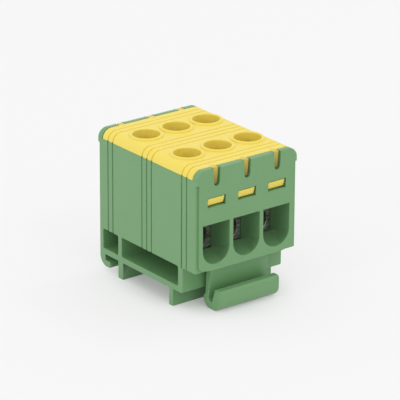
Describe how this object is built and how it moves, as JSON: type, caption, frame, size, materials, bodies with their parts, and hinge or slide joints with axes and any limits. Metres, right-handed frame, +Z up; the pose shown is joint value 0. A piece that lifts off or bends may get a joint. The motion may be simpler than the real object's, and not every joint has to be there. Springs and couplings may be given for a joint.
{
  "type": "earth terminal block",
  "caption": "Feed-through earth terminal block in green and yellow plastic for a 35 mm top-hat rail, with a sprung rail latch, wire entries, clamp bars and hexagon-socket clamp screws under the cover.",
  "frame": {"origin": "on the floor under the centre of the bounding box", "axes": "+X runs along the rail, -Y is the side with the sprung latch, +Z is up"},
  "size_m": [0.0332, 0.045, 0.041],
  "materials": {
    "green_plastic": "moulded, satin",
    "yellow_plastic": "moulded, satin",
    "bar_metal": "sawn and drilled",
    "screw_steel": "zinc plated"
  },
  "bodies": {
    "block": {"housing_base": "green_plastic", "housing_front": "green_plastic", "housing_back": "green_plastic", "housing_walls": "green_plastic", "cover": "yellow_plastic", "terminal_bar_1": "bar_metal", "terminal_bar_2": "bar_metal", "terminal_bar_3": "bar_metal"},
    "screw_front_1": {"clamp_screw_front_1": "screw_steel"},
    "screw_front_2": {"clamp_screw_front_2": "screw_steel"},
    "screw_front_3": {"clamp_screw_front_3": "screw_steel"},
    "screw_back_1": {"clamp_screw_back_1": "screw_steel"},
    "screw_back_2": {"clamp_screw_back_2": "screw_steel"},
    "screw_back_3": {"clamp_screw_back_3": "screw_steel"}
  },
  "joints": [
    {"name": "clamp_front_1", "type": "slide", "parent": "block", "child": "screw_front_1", "axis": [0, 0, -1], "range_m": [0, 0.005]},
    {"name": "clamp_front_2", "type": "slide", "parent": "block", "child": "screw_front_2", "axis": [0, 0, -1], "range_m": [0, 0.005]},
    {"name": "clamp_front_3", "type": "slide", "parent": "block", "child": "screw_front_3", "axis": [0, 0, -1], "range_m": [0, 0.005]},
    {"name": "clamp_back_1", "type": "slide", "parent": "block", "child": "screw_back_1", "axis": [0, 0, -1], "range_m": [0, 0.005]},
    {"name": "clamp_back_2", "type": "slide", "parent": "block", "child": "screw_back_2", "axis": [0, 0, -1], "range_m": [0, 0.005]},
    {"name": "clamp_back_3", "type": "slide", "parent": "block", "child": "screw_back_3", "axis": [0, 0, -1], "range_m": [0, 0.005]}
  ]
}
